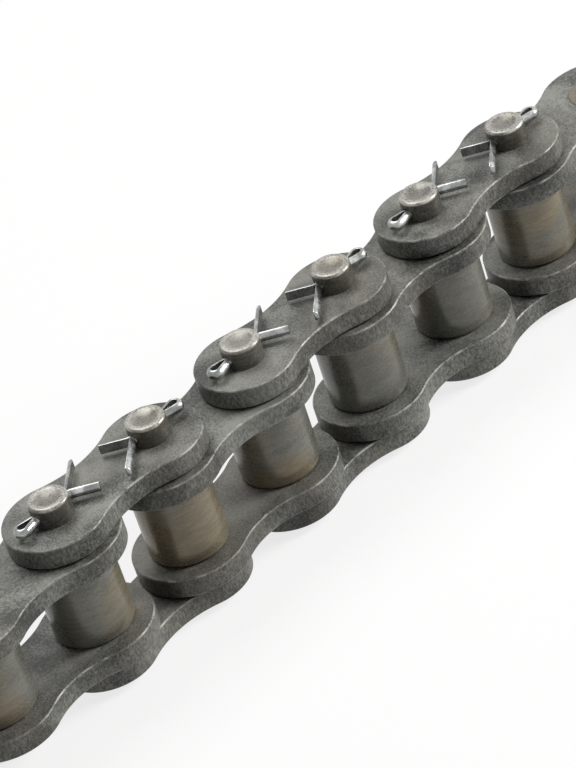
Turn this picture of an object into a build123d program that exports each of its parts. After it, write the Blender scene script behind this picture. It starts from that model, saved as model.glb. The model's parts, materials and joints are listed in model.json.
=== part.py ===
from build123d import *
import os
from math import asin, atan2, cos, hypot, radians, sin, tan

os.makedirs("parts", exist_ok=True)

# A strand of heavy-series roller chain, lying on its side with its pins upright.
# +X runs along the strand and +Z along the pins. Z = 0 is the underside of the pin heads,
# and X = Y = 0 is the middle of the strand. Lengths are in millimetres.

# ---- Chain -----------------------------------------------------------------------------
inner_link_count = 4            # the strand begins and ends with an inner link
pitch = 19.05                   # between neighbouring pin centres
inner_width = 12.70             # between the two plates of an inner link
roller_diameter = 11.91
pin_diameter = 5.96
plate_thickness = 3.20

# ---- Link plates -----------------------------------------------------------------------
inner_lobe_gap = 1.75           # between the plates of two inner links on a straight strand
outer_lobe_gap = 3.85           # the same, between the plates of two outer links
inner_waist_depth = 2.20        # how far each long edge curves in at mid-link
outer_waist_depth = 2.05
plate_edge_radius = 0.30        # rounding of the sheared rims

# ---- Bushes and rollers ----------------------------------------------------------------
bush_diameter = 8.40
bush_proud = 0.15               # how far a bush stands out of its plates
bush_edge = 0.12                # chamfer of the bush ends
roller_corner = 0.45            # rounding of the roller's outer rims
roller_mouth = 0.20             # chamfer of the roller's bore

# ---- Pins ------------------------------------------------------------------------------
head_overhang = 0.72            # how far the upset head stands out around the shank
head_height = 1.30
head_edge_radius = 0.35
pin_top_radius = 0.50           # rounded rim of the free end
pin_rim_width = 0.55            # flat ring between the rounded rim and the dished centre
pin_dish_depth = 0.18
land_above_cotter = 1.05        # metal between the cotter hole and the pin's top

# ---- Cotters ---------------------------------------------------------------------------
cotter_wire = 1.60              # across both half-round legs together
cotter_lift = 0.45              # from the upper plate to the underside of the cotter hole
leg_gap = 0.06                  # between the two flat faces
eye_radius = 0.55               # inside of the eye's round end
eye_reach = 3.70                # from the pin to the far end of the eye
eye_neck_gap = 0.15             # from the pin to where the legs part for the eye
neck_inside_radius = 0.40
splay_inside_radius = 0.50
splay_angle = 41.0              # degrees, each prong from the strand's line
prong_length = 5.50

# ---- Fits ------------------------------------------------------------------------------
press_clearance = 0.01          # radial, pin in outer plate and bush in inner plate
pin_clearance = 0.045           # radial running fit, pin in bush
roller_clearance = 0.05         # radial running fit, roller on bush
roller_end_play = 0.10          # at each end of a roller
link_side_play = 0.10           # between a bush end and the outer plate beside it
cotter_clearance = 0.10         # radial, cotter in its hole

# ---- Sizes that follow -----------------------------------------------------------------
inner_plate_height = pitch - inner_lobe_gap
outer_plate_height = pitch - outer_lobe_gap
pin_radius = pin_diameter / 2
wire_radius = cotter_wire / 2
bush_bore = pin_diameter + 2 * pin_clearance
bush_length = inner_width + 2 * plate_thickness + 2 * bush_proud
roller_bore = bush_diameter + 2 * roller_clearance
roller_length = inner_width - 2 * roller_end_play

# ---- Levels, from the floor up ---------------------------------------------------------
lower_outer_z = head_height
lower_inner_z = lower_outer_z + plate_thickness + link_side_play + bush_proud
bush_z = lower_inner_z - bush_proud
roller_z = lower_inner_z + plate_thickness + roller_end_play
upper_inner_z = lower_inner_z + plate_thickness + inner_width
upper_outer_z = upper_inner_z + plate_thickness + bush_proud + link_side_play
cotter_z = upper_outer_z + plate_thickness + cotter_lift + wire_radius + cotter_clearance
pin_top_z = cotter_z + wire_radius + cotter_clearance + land_above_cotter


def build_plate(label, centre_x, underside_z, height, waist_depth, hole_diameter):
    """Make one figure-of-eight link plate: two round lobes joined by two hollow waist arcs."""
    half_pitch = pitch / 2
    lobe = height / 2
    waist = lobe - waist_depth
    waist_radius = (half_pitch**2 + waist**2 - lobe**2) / (2 * waist_depth)
    lobe_share = lobe / (lobe + waist_radius)
    blend_x = half_pitch * (1 - lobe_share)
    blend_y = (waist + waist_radius) * lobe_share
    with BuildPart() as plate:
        with BuildSketch(Plane((centre_x, 0, underside_z))):
            with BuildLine():
                ThreePointArc((blend_x, blend_y), (half_pitch + lobe, 0), (blend_x, -blend_y))
                ThreePointArc((blend_x, -blend_y), (0, -waist), (-blend_x, -blend_y))
                ThreePointArc((-blend_x, -blend_y), (-half_pitch - lobe, 0), (-blend_x, blend_y))
                ThreePointArc((-blend_x, blend_y), (0, waist), (blend_x, blend_y))
            make_face()
            with Locations((-half_pitch, 0), (half_pitch, 0)):
                Circle(hole_diameter / 2, mode=Mode.SUBTRACT)
        extrude(amount=plate_thickness)
        faces = plate.faces().sort_by(Axis.Z)
        rims = faces[0].outer_wire().edges() + faces[-1].outer_wire().edges()
        fillet(rims, plate_edge_radius)
    plate.part.label = label
    export_step(plate.part, f"parts/{label}.step")


def build_bush(label, bush_x):
    """Make one bush, pressed into both inner plates and a little proud of each."""
    with BuildPart() as bush:
        with BuildSketch(Plane((bush_x, 0, bush_z))):
            Circle(bush_diameter / 2)
            Circle(bush_bore / 2, mode=Mode.SUBTRACT)
        extrude(amount=bush_length)
        chamfer(bush.edges().filter_by(GeomType.CIRCLE), bush_edge)
    bush.part.label = label
    export_step(bush.part, f"parts/{label}.step")


def build_roller(label, bush_x):
    """Make one roller, free on its bush, with rounded outer rims and a chamfered bore."""
    with BuildPart() as roller:
        with BuildSketch(Plane((bush_x, 0, roller_z))):
            Circle(roller_diameter / 2)
            Circle(roller_bore / 2, mode=Mode.SUBTRACT)
        extrude(amount=roller_length)
        chamfer(roller.edges().filter_by(GeomType.CIRCLE).group_by(SortBy.RADIUS)[0], roller_mouth)
        fillet(roller.edges().filter_by(GeomType.CIRCLE).group_by(SortBy.RADIUS)[-1], roller_corner)
    roller.part.label = label
    export_step(roller.part, f"parts/{label}.step")


def build_pin(label, pin_x):
    """Make one pin: upset head below, round shank, dished and round-rimmed free end, cotter hole."""
    dish_radius = pin_radius - pin_top_radius - pin_rim_width
    dish_sphere = (dish_radius**2 + pin_dish_depth**2) / (2 * pin_dish_depth)
    with BuildPart() as pin:
        with BuildSketch(Plane((pin_x, 0, 0))):
            Circle(pin_radius + head_overhang)
        extrude(amount=head_height)
        fillet(pin.faces().sort_by(Axis.Z)[0].edges(), head_edge_radius)
        with BuildSketch(Plane((pin_x, 0, head_height))):
            Circle(pin_radius)
        extrude(amount=pin_top_z - head_height)
        fillet(pin.faces().sort_by(Axis.Z)[-1].edges(), pin_top_radius)
        with Locations((pin_x, 0, pin_top_z - pin_dish_depth + dish_sphere)):
            Sphere(dish_sphere, mode=Mode.SUBTRACT)
        with BuildSketch(Plane.YZ.offset(pin_x)):
            with Locations((0, cotter_z)):
                Circle(wire_radius + cotter_clearance)
        extrude(amount=pin_diameter, both=True, mode=Mode.SUBTRACT)
    pin.part.label = label
    export_step(pin.part, f"parts/{label}.step")


def build_cotter(label, pin_x, facing):
    """Make one split cotter, its prongs towards mid-link and its eye away from it.

    It is one half-round wire, bent flat side inwards: prong, leg, eye, leg, prong.
    """
    neck_radius = wire_radius + neck_inside_radius
    splay_radius = wire_radius + splay_inside_radius
    splay = radians(splay_angle)
    leg_y = leg_gap / 2
    neck_x = -(pin_radius + eye_neck_gap)
    eye_x = -(pin_radius + eye_reach - wire_radius - eye_radius)
    eye_span = neck_x - eye_x
    eye_lean = asin(eye_radius / hypot(eye_span, leg_y)) - atan2(leg_y, eye_span)
    side_x = eye_x + eye_radius * sin(eye_lean)
    side_y = eye_radius * cos(eye_lean)
    splay_x = pin_radius + splay_radius * tan(splay / 2)
    tip_x = splay_x + prong_length * cos(splay)
    tip_y = leg_y + prong_length * sin(splay)
    with BuildPart() as cotter:
        with BuildLine(Plane((pin_x, 0, cotter_z), x_dir=(facing, 0, 0), z_dir=(0, 0, 1))):
            first_leg = FilletPolyline(
                (tip_x, tip_y),
                (splay_x, leg_y),
                (neck_x, leg_y),
                (side_x, side_y),
                radius=[splay_radius, neck_radius],
            )
            ThreePointArc((side_x, side_y), (eye_x - eye_radius, 0), (side_x, -side_y))
            FilletPolyline(
                (side_x, -side_y),
                (neck_x, -leg_y),
                (splay_x, -leg_y),
                (tip_x, -tip_y),
                radius=[neck_radius, splay_radius],
            )
        along = first_leg % 0
        with BuildSketch(Plane(first_leg @ 0, x_dir=along.cross(Vector(0, 0, 1)), z_dir=along)):
            with BuildLine():
                CenterArc((0, 0), wire_radius, -90, 180)
                Line((0, wire_radius), (0, -wire_radius))
            make_face()
        sweep()
    cotter.part.label = label
    export_step(cotter.part, f"parts/{label}.step")


# ---- Inner links: two plates, two bushes and two rollers each ----------------------------
for link in range(1, inner_link_count + 1):
    link_x = (2 * link - 1 - inner_link_count) * pitch
    for side, underside_z in (("lower", lower_inner_z), ("upper", upper_inner_z)):
        build_plate(
            f"inner_plate_{side}_{link}",
            link_x,
            underside_z,
            inner_plate_height,
            inner_waist_depth,
            bush_diameter + 2 * press_clearance,
        )
    for number, bush_x in ((2 * link - 1, link_x - pitch / 2), (2 * link, link_x + pitch / 2)):
        build_bush(f"bush_{number}", bush_x)
        build_roller(f"roller_{number}", bush_x)

# ---- Outer links: two plates, two pins and two cotters each ------------------------------
for link in range(1, inner_link_count):
    link_x = (2 * link - inner_link_count) * pitch
    for side, underside_z in (("lower", lower_outer_z), ("upper", upper_outer_z)):
        build_plate(
            f"outer_plate_{side}_{link}",
            link_x,
            underside_z,
            outer_plate_height,
            outer_waist_depth,
            pin_diameter + 2 * press_clearance,
        )
    for number, pin_x, facing in (
        (2 * link - 1, link_x - pitch / 2, 1),
        (2 * link, link_x + pitch / 2, -1),
    ):
        build_pin(f"pin_{number}", pin_x)
        build_cotter(f"cotter_{number}", pin_x, facing)
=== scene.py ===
"""The looks of a strand of heavy roller chain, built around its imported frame.

Every plate, pin, cotter, bush and roller is modelled once at its real size, copied to its place
in the strand and given a worn-steel finish. All lengths are in metres.
"""

import json
import logging
import math
from contextlib import contextmanager
from dataclasses import dataclass, field
from enum import Enum
from typing import Callable, Iterator

import bmesh
import bpy
from mathutils import Color, Matrix, Vector

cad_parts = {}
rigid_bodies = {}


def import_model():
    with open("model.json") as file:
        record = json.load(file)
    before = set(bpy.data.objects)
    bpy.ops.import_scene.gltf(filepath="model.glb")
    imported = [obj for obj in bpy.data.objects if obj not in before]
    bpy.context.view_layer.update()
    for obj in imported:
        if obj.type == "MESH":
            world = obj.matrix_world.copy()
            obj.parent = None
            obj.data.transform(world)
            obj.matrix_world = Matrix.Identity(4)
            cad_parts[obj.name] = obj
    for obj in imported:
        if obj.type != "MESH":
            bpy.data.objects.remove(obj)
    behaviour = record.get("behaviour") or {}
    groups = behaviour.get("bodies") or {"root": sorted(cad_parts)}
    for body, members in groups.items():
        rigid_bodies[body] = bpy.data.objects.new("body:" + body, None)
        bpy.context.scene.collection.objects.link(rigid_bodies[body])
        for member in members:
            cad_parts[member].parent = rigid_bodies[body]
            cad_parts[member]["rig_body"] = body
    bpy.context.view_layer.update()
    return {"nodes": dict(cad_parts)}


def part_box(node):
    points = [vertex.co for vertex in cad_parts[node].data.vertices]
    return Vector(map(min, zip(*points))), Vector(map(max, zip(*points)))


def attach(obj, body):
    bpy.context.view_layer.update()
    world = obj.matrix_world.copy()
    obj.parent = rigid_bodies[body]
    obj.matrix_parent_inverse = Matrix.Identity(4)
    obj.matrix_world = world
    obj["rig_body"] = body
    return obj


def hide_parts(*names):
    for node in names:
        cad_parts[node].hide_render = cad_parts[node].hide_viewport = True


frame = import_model()

MM = 0.001
MERGE_DISTANCE = 1e-6           # corners closer than this are one corner
CLOSING_DISTANCE = 1e-5         # the same, where a swept outline meets its own start
SPIN_SENSE = -1.0               # the spin tool turns clockwise for a positive angle
ROUND_SIDES = 96                # sides of a turned piece
DRILL_SIDES = 64                # sides of a drilled hole
DRILL_SHARE = 2.0               # a drill's length over the depth of its hole
FACE_WEIGHT = 60                # how far a large face steers the shading of its neighbours
DISPLAY_TOP = 255               # the highest value of a display colour
POLISH_AND_HIGHLIGHT = "polish_and_highlight"               # the mesh attribute that marks bright places: polished by rubbing, and a painted highlight

log = logging.getLogger("chain")

Colour = tuple[float, float, float, float]
WHITE: Colour = (1.0, 1.0, 1.0, 1.0)


class Slot(Enum):
    """The record's material slots."""

    PLATE = "plate_steel"
    BUSH = "bush_steel"
    ROLLER = "roller_steel"
    PIN = "pin_steel"
    COTTER = "cotter_steel"


def paint(red: int, green: int, blue: int) -> Colour:
    """Turn a display colour into the linear colour that a shader socket takes.

    Args:
        red: Display red, 0 to 255.
        green: Display green, 0 to 255.
        blue: Display blue, 0 to 255.

    Returns:
        The linear colour, with full opacity.
    """
    display = Color(value / DISPLAY_TOP for value in (red, green, blue))
    return (*display.from_srgb_to_scene_linear(), 1.0)


# ---- The modelling bench ---------------------------------------------------------------


def clear_bench() -> None:
    """Deselect everything, so that the next tool acts on the new piece alone."""
    bpy.ops.object.select_all(action="DESELECT")


@contextmanager
def editing(piece: bpy.types.Object) -> Iterator[None]:
    """Hold one piece in edit mode.

    Args:
        piece: The mesh object to work on.
    """
    clear_bench()
    piece.select_set(True)
    bpy.context.view_layer.objects.active = piece
    bpy.ops.object.mode_set(mode="EDIT")
    yield
    bpy.ops.object.mode_set(mode="OBJECT")


def pick_edges(piece: bpy.types.Object, wanted: Callable[[bmesh.types.BMEdge], bool]) -> None:
    """Select only the edges that pass a test.

    Args:
        piece: The mesh object in edit mode.
        wanted: The test that an edge has to pass.
    """
    bpy.ops.mesh.select_mode(type="EDGE")
    bpy.ops.mesh.select_all(action="DESELECT")
    for edge in bmesh.from_edit_mesh(piece.data).edges:
        if wanted(edge):
            edge.select_set(True)
    bmesh.update_edit_mesh(piece.data)


def pick_faces(piece: bpy.types.Object, wanted: Callable[[bmesh.types.BMFace], bool]) -> None:
    """Select only the faces that pass a test.

    Args:
        piece: The mesh object in edit mode.
        wanted: The test that a face has to pass.
    """
    bpy.ops.mesh.select_mode(type="FACE")
    bpy.ops.mesh.select_all(action="DESELECT")
    for face in bmesh.from_edit_mesh(piece.data).faces:
        if wanted(face):
            face.select_set(True)
    bmesh.update_edit_mesh(piece.data)


def is_level(edge: bmesh.types.BMEdge, height: float) -> bool:
    """Tell whether an edge lies flat at one height.

    Args:
        edge: The edge to test.
        height: The height that both its corners have to have.

    Returns:
        True if both corners are there.
    """
    return all(abs(corner.co.z - height) < MERGE_DISTANCE for corner in edge.verts)


def is_flat(face: bmesh.types.BMFace, height: float) -> bool:
    """Tell whether a face lies flat at one height.

    Args:
        face: The face to test.
        height: The height that all its edges have to have.

    Returns:
        True if all its edges are there.
    """
    return all(is_level(edge, height) for edge in face.edges)


def round_edges(width: float, steps: int) -> None:
    """Round the selected edges.

    Args:
        width: How far the rounding reaches onto each face.
        steps: Number of divisions across the rounding.
    """
    bpy.ops.mesh.bevel(offset=width, segments=steps, affect="EDGES", clamp_overlap=True)


def extrude(shift: Vector) -> None:
    """Extrude the selection along a straight line.

    Args:
        shift: The line's length and direction.
    """
    bpy.ops.mesh.extrude_region_move(TRANSFORM_OT_translate={"value": tuple(shift)})


def swing(centre: tuple[float, float], turn: float, steps: int) -> None:
    """Sweep the selection round an upright axis.

    Args:
        centre: The axis's place, seen from above.
        turn: Radians, counter-clockwise seen from above.
        steps: Number of divisions along the sweep.
    """
    bpy.ops.mesh.spin(
        steps=steps,
        angle=SPIN_SENSE * turn,
        center=(centre[0], centre[1], 0.0),
        axis=(0.0, 0.0, 1.0),
    )


def apply_modifier(piece: bpy.types.Object, kind: str, **settings: object) -> None:
    """Add one modifier and apply it at once.

    Args:
        piece: The mesh object to change.
        kind: The modifier's type.
        **settings: The modifier's values.
    """
    clear_bench()
    piece.select_set(True)
    bpy.context.view_layer.objects.active = piece
    modifier = piece.modifiers.new(kind.title(), kind)
    for name, value in settings.items():
        setattr(modifier, name, value)
    bpy.ops.object.modifier_apply(modifier=modifier.name)


def drill(piece: bpy.types.Object, radius: float, depth: float, place: Vector, tilt: float = 0.0) -> None:
    """Drill one round hole through a piece.

    Args:
        piece: The mesh object to drill.
        radius: The hole's radius.
        depth: The hole's depth, from one side of the piece to the other.
        place: The middle of the hole.
        tilt: Turn of the drill about +Y, in radians, from upright.
    """
    clear_bench()
    bpy.ops.mesh.primitive_cylinder_add(
        vertices=DRILL_SIDES,
        radius=radius,
        depth=DRILL_SHARE * depth,
        location=place,
        rotation=(0.0, tilt, 0.0),
    )
    bit = bpy.context.object
    apply_modifier(piece, "BOOLEAN", operation="DIFFERENCE", solver="EXACT", object=bit)
    bpy.data.objects.remove(bit)


def finish_mesh(piece: bpy.types.Object, crease: float) -> bpy.types.Mesh:
    """Point the faces outwards, shade them smoothly and take the mesh off the bench.

    Args:
        piece: The finished mesh object.
        crease: Angle in degrees above which an edge stays sharp.

    Returns:
        The mesh. Its object is removed.
    """
    with editing(piece):
        bpy.ops.mesh.select_all(action="SELECT")
        bpy.ops.mesh.remove_doubles(threshold=MERGE_DISTANCE)
        bpy.ops.mesh.normals_make_consistent(inside=False)
    bpy.ops.object.transform_apply(location=True, rotation=True, scale=True)
    bpy.ops.object.shade_smooth_by_angle(angle=math.radians(crease))
    apply_modifier(piece, "WEIGHTED_NORMAL", mode="FACE_AREA", weight=FACE_WEIGHT, keep_sharp=True)
    mesh = piece.data.copy()
    bpy.data.objects.remove(piece)
    return mesh


# ---- Shader graphs ---------------------------------------------------------------------


@dataclass(frozen=True)
class Pattern:
    """The character of one noise pattern, and the values between which it is stretched."""

    detail: float
    roughness: float
    distortion: float = 0.0
    limits: tuple[float, float] = (0.0, 1.0)


class Graph:
    """A node tree that is being wired."""

    def __init__(self, tree: bpy.types.NodeTree) -> None:
        """Empty the tree and start on it.

        Args:
            tree: The node tree of a material, a world or a group.
        """
        self.tree = tree
        tree.nodes.clear()

    def node(self, kind: str, inputs: dict | None = None, **settings: object) -> bpy.types.Node:
        """Add a node, set it up and feed it.

        Args:
            kind: The node's type.
            inputs: Socket name or index to a value or another node's output.
            **settings: The node's own properties.

        Returns:
            The new node.
        """
        made = self.tree.nodes.new(kind)
        for name, value in settings.items():
            setattr(made, name, value)
        for key, value in (inputs or {}).items():
            self.feed(made.inputs[key], value)
        return made

    def feed(self, socket: bpy.types.NodeSocket, value: object) -> None:
        """Give a socket a fixed value, or link an output to it.

        Args:
            socket: The input socket.
            value: The value, or another node's output.
        """
        if isinstance(value, bpy.types.NodeSocket):
            self.tree.links.new(value, socket)
        else:
            socket.default_value = value

    def group(self, tree: bpy.types.NodeTree, inputs: dict) -> dict[str, bpy.types.NodeSocket]:
        """Place a shared effect.

        Args:
            tree: The effect's node group.
            inputs: Socket name to a value or another node's output.

        Returns:
            The effect's outputs by name.
        """
        return dict(self.node("ShaderNodeGroup", inputs, node_tree=tree).outputs.items())

    def maths(self, operation: str, first: object, second: object = 0.0) -> bpy.types.NodeSocket:
        """Combine two values.

        Args:
            operation: The kind of sum.
            first: The first value or output.
            second: The second value or output, where the sum takes two.

        Returns:
            The result's output.
        """
        return self.node("ShaderNodeMath", {0: first, 1: second}, operation=operation).outputs[0]

    def ramp(
        self, value: object, source: tuple[float, float], target: tuple[float, float] = (0.0, 1.0)
    ) -> bpy.types.NodeSocket:
        """Map a value smoothly from one range to another.

        Args:
            value: The value's output.
            source: The range that the value is read in.
            target: The range that it is mapped to.

        Returns:
            The mapped value's output.
        """
        inputs = {"Value": value, "From Min": source[0], "From Max": source[1]}
        inputs |= {"To Min": target[0], "To Max": target[1]}
        return self.node("ShaderNodeMapRange", inputs, interpolation_type="SMOOTHSTEP").outputs[0]

    def blend(self, share: object, first: object, second: object) -> bpy.types.NodeSocket:
        """Mix two colours.

        Args:
            share: How much of the second colour shows, 0 to 1.
            first: The colour or output where the share is 0.
            second: The colour or output where the share is 1.

        Returns:
            The mixed colour's output.
        """
        inputs = {0: share, 6: first, 7: second}
        return self.node("ShaderNodeMix", inputs, data_type="RGBA").outputs[2]

    def noise(self, place: object, scale: object, pattern: Pattern) -> bpy.types.NodeSocket:
        """Add a noise pattern, not yet stretched to its limits.

        Args:
            place: The coordinates' output.
            scale: How fine the pattern is, per metre.
            pattern: The pattern's character.

        Returns:
            The pattern's value.
        """
        inputs = {"Vector": place, "Scale": scale, "Detail": pattern.detail}
        inputs |= {"Roughness": pattern.roughness, "Distortion": pattern.distortion}
        return self.node("ShaderNodeTexNoise", inputs).outputs[0]


class Effects:
    """The surface effects that the steels share, each a shader node group."""

    FLAT_RISE = (0.90, 0.995)       # the normal's upward share, from a rim to a flat face
    WALL_RISE = (0.30, 0.02)        # the same, from a rim to an upright wall
    BLOTCHES = Pattern(detail=4.0, roughness=0.55, distortion=0.4)
    GRAIN = Pattern(detail=7.0, roughness=0.68)
    TONE_LIMITS = (0.39, 0.61)      # blotches and grain together
    PATCHES = Pattern(detail=4.0, roughness=0.60, distortion=0.6, limits=(0.42, 0.62))
    PATCH_SHARE = 0.4               # the patches' scale over the blotches'
    PATCH_SHIFT = (0.31, 0.17, 0.23)
    LINES = Pattern(detail=5.0, roughness=0.62, limits=(0.40, 0.62))
    SCUFFS = Pattern(detail=8.0, roughness=0.74, distortion=1.6, limits=(0.54, 0.68))
    WEAR_AND_HIGHLIGHT = Pattern(detail=5.0, roughness=0.62, limits=(0.45, 0.66))
    WEAR_AND_HIGHLIGHT_SCALE = 420.0

    def __init__(self) -> None:
        """Build every group once."""
        self.zones = self._zones()
        self.mottle = self._mottle()
        self.streaks = self._streaks()
        self.scuffs = self._scuffs()

    @staticmethod
    def _group(
        name: str, inputs: dict[str, str], outputs: list[str]
    ) -> tuple[bpy.types.NodeTree, Graph, bpy.types.Node, bpy.types.Node]:
        """Make an empty group with named sockets.

        Args:
            name: The group's name.
            inputs: Input name to socket type.
            outputs: Names of the value outputs.

        Returns:
            The group, its graph, its input node and its output node.
        """
        group = bpy.data.node_groups.new(name, "ShaderNodeTree")
        for label, kind in inputs.items():
            group.interface.new_socket(label, in_out="INPUT", socket_type=kind)
        for label in outputs:
            group.interface.new_socket(label, in_out="OUTPUT", socket_type="NodeSocketFloat")
        graph = Graph(group)
        return group, graph, graph.node("NodeGroupInput"), graph.node("NodeGroupOutput")

    def _zones(self) -> bpy.types.NodeTree:
        """Tell the upright walls and the rounded rims from the flat faces, by the normal."""
        group, graph, given, out = self._group(
            "face_zones", {"Normal": "NodeSocketVector"}, ["Wall", "Rim"]
        )
        upright = graph.node("ShaderNodeSeparateXYZ", {0: given.outputs["Normal"]}).outputs[2]
        rise = graph.maths("ABSOLUTE", upright)
        flat = graph.ramp(rise, self.FLAT_RISE)
        wall = graph.ramp(rise, self.WALL_RISE)
        graph.feed(out.inputs["Wall"], wall)
        graph.feed(out.inputs["Rim"], graph.maths("SUBTRACT", graph.maths("SUBTRACT", 1.0, flat), wall))
        return group

    def _mottle(self) -> bpy.types.NodeTree:
        """Mix broad and fine blotches, as on oiled and heat-treated steel."""
        group, graph, given, out = self._group(
            "steel_mottle",
            {"Vector": "NodeSocketVector", "Broad Scale": "NodeSocketFloat", "Fine Scale": "NodeSocketFloat"},
            ["Tone", "Grain", "Patch"],
        )
        vector, broad_scale = given.outputs["Vector"], given.outputs["Broad Scale"]
        broad = graph.noise(vector, broad_scale, self.BLOTCHES)
        fine = graph.noise(vector, given.outputs["Fine Scale"], self.GRAIN)
        mean = graph.maths("MULTIPLY", graph.maths("ADD", broad, fine), 0.5)
        elsewhere = graph.node("ShaderNodeVectorMath", {0: vector, 1: self.PATCH_SHIFT}, operation="ADD")
        patch_scale = graph.maths("MULTIPLY", broad_scale, self.PATCH_SHARE)
        patch = graph.noise(elsewhere.outputs[0], patch_scale, self.PATCHES)
        graph.feed(out.inputs["Tone"], graph.ramp(mean, self.TONE_LIMITS))
        graph.feed(out.inputs["Grain"], fine)
        graph.feed(out.inputs["Patch"], graph.ramp(patch, self.PATCHES.limits))
        return group

    def _streaks(self) -> bpy.types.NodeTree:
        """Draw streaks along the pins' direction where Stretch is small, or rings round it."""
        group, graph, given, out = self._group(
            "tool_streaks",
            {"Vector": "NodeSocketVector", "Scale": "NodeSocketFloat", "Stretch": "NodeSocketFloat"},
            ["Streak"],
        )
        stretch = graph.node("ShaderNodeCombineXYZ", {0: 1.0, 1: 1.0, 2: given.outputs["Stretch"]})
        inputs = {0: given.outputs["Vector"], 1: stretch.outputs[0]}
        place = graph.node("ShaderNodeVectorMath", inputs, operation="MULTIPLY").outputs[0]
        lines = graph.noise(place, given.outputs["Scale"], self.LINES)
        graph.feed(out.inputs["Streak"], graph.ramp(lines, self.LINES.limits))
        return group

    def _scuffs(self) -> bpy.types.NodeTree:
        """Scatter small nicks, and pick the stretches of rim that are painted bright, as wear and as a
        painted highlight.
        """
        group, graph, given, out = self._group(
            "scuffs_and_rim_highlight",
            {"Vector": "NodeSocketVector", "Scale": "NodeSocketFloat"},
            ["Scuff", "Wear And Highlight"],
        )
        nicks = graph.noise(given.outputs["Vector"], given.outputs["Scale"], self.SCUFFS)
        stretches = graph.noise(given.outputs["Vector"], self.WEAR_AND_HIGHLIGHT_SCALE, self.WEAR_AND_HIGHLIGHT)
        graph.feed(out.inputs["Scuff"], graph.ramp(nicks, self.SCUFFS.limits))
        graph.feed(out.inputs["Wear And Highlight"], graph.ramp(stretches, self.WEAR_AND_HIGHLIGHT.limits))
        return group


@dataclass(frozen=True)
class SteelFinish:
    """One worn-steel finish, from its colours to its grain, with painted highlights on its rims and painted
    shade on walls.

    A share says how strongly its effect covers the colour below, 0 to 1. Scales are per metre.
    """

    name: str
    slot: Slot
    dark: Colour
    light: Colour
    tint: Colour
    # wall: the colour of streaks on upright walls, and of the painted shade laid over whole walls
    wall: Colour
    # rim: the colour of rims worn bright and painted with a highlight, also laid on the pins' top ring
    rim: Colour
    scuff: Colour
    metallic: float
    specular: float
    roughness: tuple[float, float]
    broad_scale: float = 110.0
    fine_scale: float = 3000.0
    tint_share: float = 0.35
    streak_scale: float = 3000.0
    streak_stretch: float = 0.40
    # share of painted shade over whole upright walls, darker than the tops
    painted_wall_shade: float = 0.0
    wall_share: float = 0.48
    # how much of the rim colour shows on the rims: wear and painted highlight
    rim_wear_and_highlight_share: float = 0.42
    scuff_scale: float = 700.0
    scuff_share: float = 0.3
    # how the pins' top ring, polished and painted with a highlight, follows the grain
    polish_and_highlight_grain: tuple[float, float] = (0.35, 0.60)
    polish_and_highlight_share: tuple[float, float] = (0.12, 0.50)
    grain_height: float = 0.25
    scuff_depth: float = 0.25
    bump_depth: float = 0.04 * MM
    bump_strength: float = 0.45

    def material(self, effects: Effects) -> bpy.types.Material:
        """Make this finish's material.

        Args:
            effects: The shared surface effects.

        Returns:
            The material, with its colour, roughness and bump from its nodes.
        """
        made = bpy.data.materials.new(self.name)
        made.use_nodes = True
        graph = Graph(made.node_tree)
        where = graph.node("ShaderNodeTexCoord")
        place = where.outputs["Object"]
        zones = graph.group(effects.zones, {"Normal": where.outputs["Normal"]})
        mottle = graph.group(
            effects.mottle,
            {"Vector": place, "Broad Scale": self.broad_scale, "Fine Scale": self.fine_scale},
        )
        streaks = graph.group(
            effects.streaks,
            {"Vector": place, "Scale": self.streak_scale, "Stretch": self.streak_stretch},
        )
        scuffs = graph.group(effects.scuffs, {"Vector": place, "Scale": self.scuff_scale})

        streak = graph.maths("MULTIPLY", zones["Wall"], streaks["Streak"])
        # Upright walls: streaks, plus a painted shade over the whole wall where its share is set.
        wall = graph.maths("MULTIPLY", zones["Wall"], self.painted_wall_shade)
        wall = graph.maths("ADD", wall, graph.maths("MULTIPLY", streak, self.wall_share))
        # Rims painted bright in patches: partly wear, partly a painted highlight where the rounded edges
        # catch the light.
        worn = graph.maths("MULTIPLY", graph.maths("MULTIPLY", zones["Rim"], scuffs["Wear And Highlight"]), self.rim_wear_and_highlight_share)
        # The pins' top ring painted bright: polished by rubbing, and a painted highlight that makes the dish
        # show.
        marked = graph.node("ShaderNodeAttribute", attribute_name=POLISH_AND_HIGHLIGHT).outputs["Fac"]
        ring_polish_and_highlight = graph.ramp(mottle["Grain"], self.polish_and_highlight_grain, self.polish_and_highlight_share)
        bright = graph.maths("MAXIMUM", worn, graph.maths("MULTIPLY", marked, ring_polish_and_highlight))
        colour = graph.blend(mottle["Tone"], self.dark, self.light)
        colour = graph.blend(graph.maths("MULTIPLY", mottle["Patch"], self.tint_share), colour, self.tint)
        colour = graph.blend(wall, colour, self.wall)
        colour = graph.blend(graph.maths("MULTIPLY", scuffs["Scuff"], self.scuff_share), colour, self.scuff)
        # Lay the rim colour, wear and painted highlight, on the rims and the pins' top ring.
        colour = graph.blend(bright, colour, self.rim)
        grain = graph.maths("MULTIPLY", mottle["Grain"], self.grain_height)
        dents = graph.maths("MULTIPLY", scuffs["Scuff"], self.scuff_depth)
        height = graph.maths("SUBTRACT", graph.maths("ADD", grain, streak), dents)
        bump = graph.node(
            "ShaderNodeBump",
            {"Height": height, "Distance": self.bump_depth, "Strength": self.bump_strength},
        )
        shader = graph.node(
            "ShaderNodeBsdfPrincipled",
            {
                "Base Color": colour,
                "Roughness": graph.ramp(mottle["Tone"], (0.0, 1.0), self.roughness),
                "Metallic": self.metallic,
                "Specular IOR Level": self.specular,
                "Normal": bump.outputs["Normal"],
            },
        )
        graph.node("ShaderNodeOutputMaterial", {"Surface": shader.outputs["BSDF"]})
        return made


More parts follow.
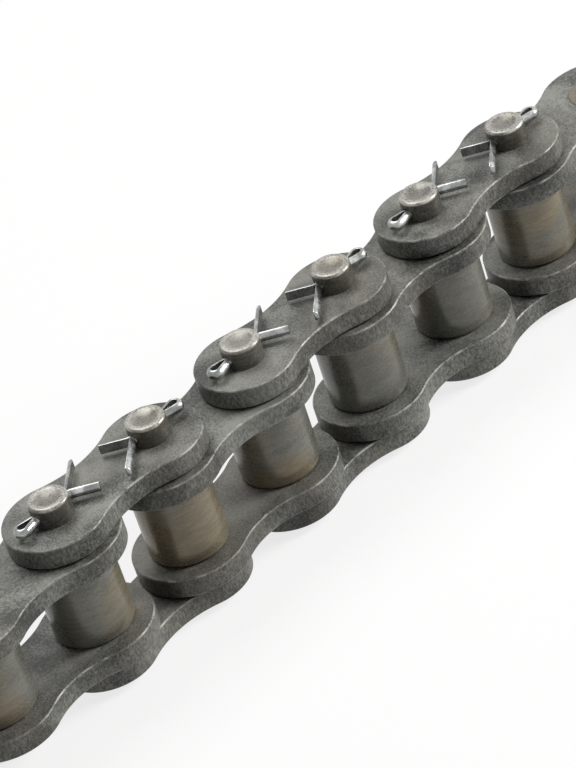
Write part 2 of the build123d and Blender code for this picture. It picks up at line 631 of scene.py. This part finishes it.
# Each finish's rim colour goes on its rounded rims in patches, as wear and as a painted highlight.
PLATE_STEEL = SteelFinish(
    name="oiled_plate_steel",
    slot=Slot.PLATE,
    dark=paint(64, 65, 61),
    light=paint(143, 143, 137),
    tint=paint(116, 111, 102),
    wall=paint(40, 40, 36),
    rim=paint(206, 205, 198),
    scuff=paint(160, 160, 153),
    metallic=0.24,
    specular=0.25,
    roughness=(0.38, 0.56),
)
ROLLER_STEEL = SteelFinish(
    name="hardened_roller_steel",
    slot=Slot.ROLLER,
    dark=paint(106, 106, 99),
    light=paint(128, 127, 119),
    tint=paint(143, 127, 98),
    wall=paint(88, 86, 78),
    rim=paint(150, 148, 140),
    scuff=paint(132, 130, 120),
    metallic=0.32,
    specular=0.35,
    roughness=(0.24, 0.34),
    tint_share=0.62,
    streak_scale=300.0,
    streak_stretch=8.0,
    wall_share=0.4,
    scuff_share=0.12,
    bump_depth=0.006 * MM,
    bump_strength=0.25,
)
PIN_STEEL = SteelFinish(
    name="hardened_pin_steel",
    slot=Slot.PIN,
    dark=paint(90, 88, 82),
    light=paint(142, 140, 133),
    tint=paint(134, 122, 102),
    # the pins' wall colour is their painted shade
    wall=paint(80, 78, 71),
    rim=paint(208, 206, 198),
    scuff=paint(182, 180, 172),
    metallic=0.42,
    specular=0.4,
    roughness=(0.26, 0.42),
    tint_share=0.40,
    streak_scale=350.0,
    streak_stretch=6.0,
    # painted shade: the pins' walls darkened towards the wall colour, below the brightness of the tops
    painted_wall_shade=0.65,
    wall_share=0.30,
    # the pins' rims and top ring painted bright: wear and a painted highlight
    rim_wear_and_highlight_share=0.70,
    scuff_scale=900.0,
    scuff_share=0.40,
    bump_depth=0.006 * MM,
)
BUSH_STEEL = SteelFinish(
    name="dull_bush_steel",
    slot=Slot.BUSH,
    dark=paint(92, 84, 76),
    light=paint(134, 126, 115),
    tint=paint(116, 95, 80),
    wall=paint(78, 68, 60),
    rim=paint(176, 170, 160),
    scuff=paint(150, 142, 132),
    metallic=0.50,
    specular=0.3,
    roughness=(0.35, 0.52),
)
COTTER_STEEL = SteelFinish(
    name="bright_cotter_zinc",
    slot=Slot.COTTER,
    dark=paint(132, 134, 132),
    light=paint(176, 178, 175),
    tint=paint(112, 115, 115),
    wall=paint(140, 142, 140),
    rim=paint(236, 237, 234),
    scuff=paint(120, 122, 122),
    metallic=0.92,
    specular=0.5,
    roughness=(0.20, 0.32),
    broad_scale=420.0,
    fine_scale=900.0,
    tint_share=0.5,
    wall_share=0.1,
    rim_wear_and_highlight_share=0.5,
    scuff_share=0.12,
    bump_depth=0.005 * MM,
    bump_strength=0.25,
)


# ---- The pieces ------------------------------------------------------------------------


@dataclass
class Part:
    """A kind of piece that is modelled once and copied to each of its places."""

    finish: SteelFinish
    mesh: bpy.types.Mesh | None = field(default=None, init=False)

    def model(self) -> bpy.types.Mesh:
        """Model the piece at the middle of the bench."""
        raise NotImplementedError

    def place(self, node: str, material: bpy.types.Material, shift: Vector, turn: float = 0.0) -> None:
        """Put one copy in place of a node, on that node's body.

        Args:
            node: The node that the copy stands for.
            material: The copy's material.
            shift: Where the piece's own origin goes.
            turn: Radians about +Z, before the shift.
        """
        if self.mesh is None:
            self.mesh = self.model()
        mesh = self.mesh.copy()
        mesh.name = f"{node}_mesh"
        mesh.transform(Matrix.Translation(shift) @ Matrix.Rotation(turn, 4, "Z"))
        mesh.materials.clear()
        mesh.materials.append(material)
        piece = bpy.data.objects.new(f"{node}_finished", mesh)
        bpy.context.scene.collection.objects.link(piece)
        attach(piece, frame["nodes"][node]["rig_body"])
        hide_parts(node)


@dataclass
class LinkPlate(Part):
    """A sheared link plate: two round lobes, a hollow waist, rounded rims and two holes."""

    pitch: float
    height: float
    thickness: float
    waist_depth: float
    hole_radius: float
    rim: float = 0.30 * MM
    rim_steps: int = 4
    lobe_steps: int = 72
    waist_steps: int = 28
    crease: float = 35.0

    def model(self) -> bpy.types.Mesh:
        """Swing the outline, thicken it, round its rims and drill its holes."""
        half_pitch = self.pitch / 2
        lobe = self.height / 2
        waist = lobe - self.waist_depth
        waist_radius = (half_pitch**2 + waist**2 - lobe**2) / (2 * self.waist_depth)
        share = lobe / (lobe + waist_radius)
        blend_x = half_pitch * (1 - share)
        blend_y = (waist + waist_radius) * share
        lobe_angle = 2 * math.atan2(blend_y, blend_x - half_pitch)
        waist_angle = math.pi - 2 * math.atan2(waist + waist_radius - blend_y, blend_x)
        clear_bench()
        bpy.ops.mesh.primitive_plane_add(size=MM, location=(blend_x, blend_y, 0.0))
        piece = bpy.context.object
        bpy.ops.object.transform_apply(location=True)
        with editing(piece):
            bpy.ops.mesh.select_mode(type="VERT")
            bpy.ops.mesh.select_all(action="SELECT")
            bpy.ops.mesh.merge(type="CENTER")
            bpy.ops.mesh.select_all(action="SELECT")
            swing((half_pitch, 0.0), -lobe_angle, self.lobe_steps)
            swing((0.0, -waist - waist_radius), waist_angle, self.waist_steps)
            swing((-half_pitch, 0.0), -lobe_angle, self.lobe_steps)
            swing((0.0, waist + waist_radius), waist_angle, self.waist_steps)
            bpy.ops.mesh.select_all(action="SELECT")
            bpy.ops.mesh.remove_doubles(threshold=CLOSING_DISTANCE)
            bpy.ops.mesh.edge_face_add()
            extrude(Vector((0.0, 0.0, self.thickness)))
            bpy.ops.mesh.select_all(action="SELECT")
            bpy.ops.mesh.normals_make_consistent(inside=False)
            pick_edges(piece, lambda edge: is_level(edge, 0.0) or is_level(edge, self.thickness))
            round_edges(self.rim, self.rim_steps)
        for side in (-1, 1):
            place = Vector((side * half_pitch, 0.0, self.thickness / 2))
            drill(piece, self.hole_radius, self.thickness, place)
        return finish_mesh(piece, self.crease)


@dataclass
class Ring(Part):
    """A bush or a roller: a tube with rounded outer rims and a chamfered bore."""

    outer_radius: float
    inner_radius: float
    length: float
    rim: float
    mouth: float
    rim_steps: int = 5
    mouth_steps: int = 2
    crease: float = 40.0

    def model(self) -> bpy.types.Mesh:
        """Thicken an open tube inwards, then round its rims."""
        clear_bench()
        bpy.ops.mesh.primitive_cylinder_add(
            vertices=ROUND_SIDES,
            radius=self.outer_radius,
            depth=self.length,
            location=(0.0, 0.0, self.length / 2),
            end_fill_type="NOTHING",
        )
        piece = bpy.context.object
        bpy.ops.object.transform_apply(location=True)
        wall = self.outer_radius - self.inner_radius
        apply_modifier(piece, "SOLIDIFY", thickness=wall, offset=-1.0, use_even_offset=True)
        middle = (self.outer_radius + self.inner_radius) / 2

        def is_rim(edge: bmesh.types.BMEdge, outside: bool) -> bool:
            """Tell whether an edge runs along an end, on the outer side or the inner.

            Args:
                edge: The edge to test.
                outside: True for the outer side, False for the bore.

            Returns:
                True if the whole edge is there.
            """
            if not (is_level(edge, 0.0) or is_level(edge, self.length)):
                return False
            reaches = [corner.co.xy.length > middle for corner in edge.verts]
            return all(reach == outside for reach in reaches)

        with editing(piece):
            pick_edges(piece, lambda edge: is_rim(edge, True))
            round_edges(self.rim, self.rim_steps)
            pick_edges(piece, lambda edge: is_rim(edge, False))
            round_edges(self.mouth, self.mouth_steps)
        return finish_mesh(piece, self.crease)


@dataclass
class Pin(Part):
    """A pin with an upset head, a dished free end and a cross hole for its cotter."""

    radius: float
    length: float
    hole_height: float
    hole_radius: float
    stand_out: float
    head_overhang: float = 0.72 * MM
    head_height: float = 1.30 * MM
    head_rim: float = 0.35 * MM
    head_steps: int = 4
    top_rim: float = 0.50 * MM
    top_steps: int = 6
    flat_ring: float = 0.40 * MM
    bright_ring_drop: float = 0.125 * MM
    dish_depth: float = 0.36 * MM
    dish_steps: int = 6
    crease: float = 38.0

    def model(self) -> bpy.types.Mesh:
        """Raise the shank from its head, round and dish its top, and drill the cotter hole."""
        head_radius = self.radius + self.head_overhang
        clear_bench()
        bpy.ops.mesh.primitive_cylinder_add(
            vertices=ROUND_SIDES,
            radius=head_radius,
            depth=self.head_height,
            location=(0.0, 0.0, self.head_height / 2),
        )
        piece = bpy.context.object
        bpy.ops.object.transform_apply(location=True)
        with editing(piece):
            pick_faces(piece, lambda face: is_flat(face, self.head_height))
            bpy.ops.mesh.inset(thickness=self.head_overhang)
            extrude(Vector((0.0, 0.0, self.length - self.stand_out - self.head_height)))
            extrude(Vector((0.0, 0.0, self.stand_out)))
            pick_edges(piece, lambda edge: is_level(edge, 0.0))
            round_edges(self.head_rim, self.head_steps)
            pick_edges(piece, lambda edge: is_level(edge, self.length))
            round_edges(self.top_rim, self.top_steps)
            pick_faces(piece, lambda face: is_flat(face, self.length))
            bpy.ops.mesh.inset(thickness=self.flat_ring)
            self._dish()
        hole = Vector((0.0, 0.0, self.hole_height))
        drill(piece, self.hole_radius, 2 * self.radius, hole, math.pi / 2)
        mesh = finish_mesh(piece, self.crease)
        self._mark_polish_and_highlight(mesh)
        return mesh

    def _mark_polish_and_highlight(self, mesh: bpy.types.Mesh) -> None:
        """Mark the ring round the dish to be painted bright: polished by rubbing, and a painted highlight
        that makes the dish show.

        Args:
            mesh: The finished pin.
        """
        # The ring down to this depth is painted bright: polished, and a painted highlight.
        dish_edge = self.radius - self.top_rim - self.flat_ring - MERGE_DISTANCE
        ring_foot = self.length - self.bright_ring_drop
        mark = mesh.attributes.new(POLISH_AND_HIGHLIGHT, "FLOAT", "POINT")
        for corner, spot in zip(mesh.vertices, mark.data):
            on_ring = corner.co.z > ring_foot and corner.co.xy.length > dish_edge
            spot.value = 1.0 if on_ring else 0.0

    def _dish(self) -> None:
        """Sink the selected top face in rings that follow a round hollow."""
        rings = self.dish_steps + 1
        ring = (self.radius - self.top_rim - self.flat_ring) / rings
        reached = 0.0
        for step in range(1, rings):
            depth = self.dish_depth * (1 - (1 - step / rings) ** 2)
            bpy.ops.mesh.inset(thickness=ring)
            bpy.ops.transform.translate(value=(0.0, 0.0, reached - depth))
            reached = depth


@dataclass
class Cotter(Part):
    """A split cotter of half-round wire: a round-ended eye, two legs and two splayed prongs."""

    pin_radius: float
    wire_radius: float
    wire_sides: int = 28
    leg_offset: float = 0.03 * MM
    eye_radius: float = 0.55 * MM
    eye_reach: float = 3.70 * MM
    eye_steps: int = 18
    neck_gap: float = 0.15 * MM
    neck_radius: float = 1.20 * MM
    neck_steps: int = 4
    splay_radius: float = 1.30 * MM
    splay_angle: float = 41.0
    splay_steps: int = 10
    prong_lengths: tuple[float, float] = (4.50 * MM, 6.70 * MM)
    corner: float = 0.14 * MM
    cut_rim: float = 0.10 * MM
    rim_steps: int = 2
    crease: float = 40.0

    def model(self) -> bpy.types.Mesh:
        """Run one half of the wire from the eye to a prong's end, mirror it and draw one prong out."""
        eye_x = -(self.pin_radius + self.eye_reach - self.wire_radius - self.eye_radius)
        neck_x = -(self.pin_radius + self.neck_gap)
        span = neck_x - eye_x
        reach = math.hypot(span, self.leg_offset)
        lean = math.asin(self.eye_radius / reach) - math.atan2(self.leg_offset, span)
        side = (self.eye_radius * math.cos(lean) - self.leg_offset) / math.sin(lean)
        splay = math.radians(self.splay_angle)
        neck_cut = self.neck_radius * math.tan(lean / 2)
        splay_cut = self.splay_radius * math.tan(splay / 2)
        leg_start = neck_x + neck_cut
        leg_end = self.pin_radius
        piece = self._section(eye_x - self.eye_radius)
        with editing(piece):
            bpy.ops.mesh.select_mode(type="FACE")
            bpy.ops.mesh.select_all(action="SELECT")
            swing((eye_x, 0.0), -(math.pi / 2 + lean), self.eye_steps)
            extrude((side - neck_cut) * Vector((math.cos(lean), -math.sin(lean), 0.0)))
            swing((leg_start, self.leg_offset + self.neck_radius), lean, self.neck_steps)
            extrude(Vector((leg_end - leg_start, 0.0, 0.0)))
            swing((leg_end, self.leg_offset + self.splay_radius), splay, self.splay_steps)
            along = Vector((math.cos(splay), math.sin(splay), 0.0))
            extrude((self.prong_lengths[0] - splay_cut) * along)
            bpy.ops.mesh.region_to_loop()
            round_edges(self.cut_rim, self.rim_steps)
            pick_faces(piece, lambda face: abs(face.calc_center_median().y) < MERGE_DISTANCE)
            bpy.ops.mesh.delete(type="ONLY_FACE")
        apply_modifier(
            piece,
            "MIRROR",
            use_axis=(False, True, False),
            use_clip=True,
            use_mirror_merge=True,
            merge_threshold=2 * MERGE_DISTANCE,
        )
        half_way = Vector((leg_end, self.leg_offset, 0.0)).dot(along) + self.prong_lengths[0] / 2
        further = (self.prong_lengths[1] - self.prong_lengths[0]) * along
        with editing(piece):
            pick_faces(piece, lambda face: all(corner.co.dot(along) > half_way for corner in face.verts))
            bpy.ops.transform.translate(value=tuple(further))
        return finish_mesh(piece, self.crease)

    def _section(self, flat_x: float) -> bpy.types.Object:
        """Cut a disc to the half-round section at the eye's far end.

        Args:
            flat_x: Where the section's flat side stands.

        Returns:
            The section as one face, its two corners rounded.
        """
        clear_bench()
        bpy.ops.mesh.primitive_circle_add(
            vertices=self.wire_sides,
            radius=self.wire_radius,
            fill_type="NGON",
            location=(flat_x, 0.0, 0.0),
            rotation=(math.pi / 2, 0.0, 0.0),
        )
        piece = bpy.context.object
        bpy.ops.object.transform_apply(location=True, rotation=True)
        with editing(piece):
            bpy.ops.mesh.select_all(action="SELECT")
            bpy.ops.mesh.bisect(plane_co=(flat_x, 0.0, 0.0), plane_no=(1.0, 0.0, 0.0), clear_outer=True)
            bpy.ops.mesh.select_mode(type="VERT")
            bpy.ops.mesh.select_all(action="DESELECT")
            for corner in bmesh.from_edit_mesh(piece.data).verts:
                corner.select_set(abs(corner.co.x - flat_x) < MERGE_DISTANCE)
            bmesh.update_edit_mesh(piece.data)
            bpy.ops.mesh.bevel(offset=self.corner, segments=self.rim_steps, affect="VERTICES")
        return piece


# ---- The strand ------------------------------------------------------------------------


@dataclass
class ChainStrand:
    """The whole strand: its sizes come from the frame, its fits from named values."""

    pin_radius: float = 2.98 * MM
    bush_radius: float = 4.20 * MM
    inner_waist_depth: float = 2.20 * MM
    outer_waist_depth: float = 2.05 * MM
    press_clearance: float = 0.01 * MM
    pin_clearance: float = 0.045 * MM
    roller_clearance: float = 0.05 * MM
    cotter_clearance: float = 0.10 * MM
    bush_rim: float = 0.12 * MM
    bush_mouth: float = 0.12 * MM
    roller_rim: float = 0.45 * MM
    roller_mouth: float = 0.20 * MM

    def __post_init__(self) -> None:
        """Measure the frame and set up each kind of piece."""
        inner_low, inner_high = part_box("inner_plate_upper_1")
        outer_low, outer_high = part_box("outer_plate_upper_1")
        bush_low, bush_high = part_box("bush_1")
        roller_low, roller_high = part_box("roller_1")
        pin_low, pin_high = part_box("pin_1")
        cotter_low, cotter_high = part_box("cotter_1")
        self.pitch = self.middle("pin_2").x - self.middle("pin_1").x
        self.inner_plate = LinkPlate(
            finish=PLATE_STEEL,
            pitch=self.pitch,
            height=inner_high.y - inner_low.y,
            thickness=inner_high.z - inner_low.z,
            waist_depth=self.inner_waist_depth,
            hole_radius=self.bush_radius + self.press_clearance,
        )
        self.outer_plate = LinkPlate(
            finish=PLATE_STEEL,
            pitch=self.pitch,
            height=outer_high.y - outer_low.y,
            thickness=outer_high.z - outer_low.z,
            waist_depth=self.outer_waist_depth,
            hole_radius=self.pin_radius + self.press_clearance,
        )
        self.bush = Ring(
            finish=BUSH_STEEL,
            outer_radius=self.bush_radius,
            inner_radius=self.pin_radius + self.pin_clearance,
            length=bush_high.z - bush_low.z,
            rim=self.bush_rim,
            mouth=self.bush_mouth,
        )
        self.roller = Ring(
            finish=ROLLER_STEEL,
            outer_radius=(roller_high.x - roller_low.x) / 2,
            inner_radius=self.bush_radius + self.roller_clearance,
            length=roller_high.z - roller_low.z,
            rim=self.roller_rim,
            mouth=self.roller_mouth,
        )
        wire_radius = (cotter_high.z - cotter_low.z) / 2
        self.pin = Pin(
            finish=PIN_STEEL,
            radius=self.pin_radius,
            length=pin_high.z - pin_low.z,
            hole_height=self.middle("cotter_1").z - pin_low.z,
            hole_radius=wire_radius + self.cotter_clearance,
            stand_out=pin_high.z - outer_high.z,
        )
        self.cotter = Cotter(finish=COTTER_STEEL, pin_radius=self.pin_radius, wire_radius=wire_radius)

    @staticmethod
    def middle(node: str) -> Vector:
        """Find the middle of a node's box.

        Args:
            node: The node's name.

        Returns:
            The middle, in metres.
        """
        low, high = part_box(node)
        return (low + high) / 2

    def seat(self, node: str) -> Vector:
        """Find the middle of a node's underside.

        Args:
            node: The node's name.

        Returns:
            The place where the piece's own origin goes.
        """
        low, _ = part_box(node)
        centre = self.middle(node)
        return Vector((centre.x, centre.y, low.z))

    def dress(self, effects: Effects) -> None:
        """Put a finished piece in place of every node.

        Args:
            effects: The shared surface effects.
        """
        kinds = {
            "inner_plate": self.inner_plate,
            "outer_plate": self.outer_plate,
            "bush": self.bush,
            "roller": self.roller,
            "pin": self.pin,
        }
        steels = {kind.finish.name: kind.finish.material(effects) for kind in kinds.values()}
        for node in sorted(frame["nodes"]):
            for prefix, kind in kinds.items():
                if node.startswith(f"{prefix}_"):
                    kind.place(node, steels[kind.finish.name], self.seat(node))
        zinc = self.cotter.finish.material(effects)
        for node in sorted(frame["nodes"]):
            if node.startswith("cotter_"):
                self.place_cotter(node, zinc)

    def place_cotter(self, node: str, zinc: bpy.types.Material) -> None:
        """Put one cotter through its pin, its eye away from mid-link.

        Args:
            node: The cotter's node.
            zinc: The cotter's material.
        """
        pin = self.middle(node.replace("cotter", "pin"))
        own = self.middle(node)
        turn = 0.0 if own.x > pin.x else math.pi
        self.cotter.place(node, zinc, Vector((pin.x, pin.y, own.z)), turn)


# ---- The studio ------------------------------------------------------------------------


@dataclass(frozen=True)
class ViewPoint:
    """Where the camera stands round the middle of the rollers.

    Angles are in degrees, places in metres, and the lens and its sensor in millimetres.
    """

    azimuth: float = -34.55
    elevation: float = 34.50
    roll: float = -18.63
    distance: float = 0.5532
    aside: float = -0.00374
    above: float = 0.00109
    lens: float = 179.9
    sensor: float = 36.0
    nearest: float = 0.05
    farthest: float = 20.0

    def build(self) -> None:
        """Make the scene's camera."""
        turn, lift, lean = (math.radians(a) for a in (self.azimuth, self.elevation, self.roll))
        back = Vector((math.sin(turn) * math.cos(lift), -math.cos(turn) * math.cos(lift), math.sin(lift)))
        level = Vector((math.cos(turn), math.sin(turn), 0.0))
        rise = back.cross(level)
        right = math.cos(lean) * level + math.sin(lean) * rise
        up = -math.sin(lean) * level + math.cos(lean) * rise
        aim = Vector((0.0, 0.0, ChainStrand.middle("roller_1").z))
        spot = aim + self.distance * back + self.aside * right + self.above * up
        data = bpy.data.cameras.new("view")
        data.lens = self.lens
        data.sensor_width = self.sensor
        data.clip_start = self.nearest
        data.clip_end = self.farthest
        camera = bpy.data.objects.new("view", data)
        camera.matrix_world = Matrix.Translation(spot) @ Matrix((right, up, back)).transposed().to_4x4()
        bpy.context.scene.collection.objects.link(camera)
        bpy.context.scene.camera = camera


@dataclass(frozen=True)
class SoftBox:
    """One square studio lamp that faces the strand, its power in watts."""

    name: str
    place: tuple[float, float, float]
    size: float
    power: float

    def build(self) -> None:
        """Make the lamp and point it at the strand."""
        data = bpy.data.lights.new(self.name, "AREA")
        data.size = self.size
        data.energy = self.power
        lamp = bpy.data.objects.new(self.name, data)
        lamp.location = self.place
        lamp.rotation_euler = (-Vector(self.place)).to_track_quat("-Z", "Y").to_euler()
        bpy.context.scene.collection.objects.link(lamp)


@dataclass
class Studio:
    """A pale floor, a white surround and soft lamps."""

    FLOOR_MOTTLE = Pattern(detail=3.0, roughness=0.5)

    floor_size: float = 6.0
    floor_drop: float = 0.02 * MM
    floor_tones: tuple[Colour, Colour] = ((0.95, 0.945, 0.935, 1.0), (0.97, 0.97, 0.965, 1.0))
    floor_bounce: Colour = (0.46, 0.46, 0.455, 1.0)
    floor_whiteness: float = 0.78
    floor_roughness: float = 0.7
    mottle_scale: float = 12.0
    surround_light: float = 0.05
    white_light: float = 1.0
    lamps: tuple[SoftBox, ...] = (
        SoftBox("key", place=(0.05, 0.40, 0.85), size=0.50, power=4.5),
        SoftBox("fill", place=(0.74, -0.50, 0.50), size=0.40, power=11.5),
    )

    def build(self) -> None:
        """Build the floor, the surround, the lamps and the camera."""
        self.build_floor()
        self.build_surround()
        for lamp in self.lamps:
            lamp.build()
        ViewPoint().build()
        bpy.context.scene.view_settings.view_transform = "Standard"

    def build_floor(self) -> None:
        """Lay the floor just under the pin heads: white with the strand's shadow, clear from below."""
        clear_bench()
        bpy.ops.mesh.primitive_plane_add(size=self.floor_size, location=(0.0, 0.0, -self.floor_drop))
        floor = bpy.context.object
        floor.name = "floor"
        material = bpy.data.materials.new("pale_floor")
        material.use_nodes = True
        graph = Graph(material.node_tree)
        place = graph.node("ShaderNodeTexCoord").outputs["Object"]
        tint = graph.blend(graph.noise(place, self.mottle_scale, self.FLOOR_MOTTLE), *self.floor_tones)
        tint = graph.blend(self.seen(graph), self.floor_bounce, tint)
        inputs = {"Base Color": tint, "Roughness": self.floor_roughness}
        plain = graph.node("ShaderNodeBsdfPrincipled", inputs)
        white = graph.node("ShaderNodeEmission", {"Color": WHITE, "Strength": self.white_light})
        share = graph.maths("MULTIPLY", self.seen(graph), self.floor_whiteness)
        mixed = graph.node("ShaderNodeMixShader", {0: share, 1: plain.outputs["BSDF"], 2: white.outputs[0]})
        below = graph.node("ShaderNodeNewGeometry").outputs["Backfacing"]
        clear = graph.node("ShaderNodeBsdfTransparent")
        sided = graph.node("ShaderNodeMixShader", {0: below, 1: mixed.outputs[0], 2: clear.outputs[0]})
        graph.node("ShaderNodeOutputMaterial", {"Surface": sided.outputs[0]})
        floor.data.materials.append(material)

    def build_surround(self) -> None:
        """Light the scene softly from all round, and show white to the eye and to reflections."""
        world = bpy.data.worlds.new("surround")
        world.use_nodes = True
        bpy.context.scene.world = world
        graph = Graph(world.node_tree)
        soft = graph.node("ShaderNodeBackground", {"Color": WHITE, "Strength": self.surround_light})
        white = graph.node("ShaderNodeBackground", {"Color": WHITE, "Strength": self.white_light})
        inputs = {0: self.seen(graph), 1: soft.outputs[0], 2: white.outputs[0]}
        mixed = graph.node("ShaderNodeMixShader", inputs)
        graph.node("ShaderNodeOutputWorld", {"Surface": mixed.outputs[0]})

    @staticmethod
    def seen(graph: Graph) -> bpy.types.NodeSocket:
        """Tell the rays that the eye, a reflection or a clear piece sends out.

        Args:
            graph: The node tree that asks.

        Returns:
            1 for such a ray, 0 for every other.
        """
        path = graph.node("ShaderNodeLightPath")
        either = graph.maths("MAXIMUM", path.outputs["Is Camera Ray"], path.outputs["Is Glossy Ray"])
        return graph.maths("MAXIMUM", either, path.outputs["Is Transmission Ray"])


def main() -> None:
    """Build the studio and dress the strand."""
    logging.basicConfig(level=logging.INFO, format="%(name)s: %(message)s")
    Studio().build()
    ChainStrand().dress(Effects())


if __name__ == "__main__":
    main()
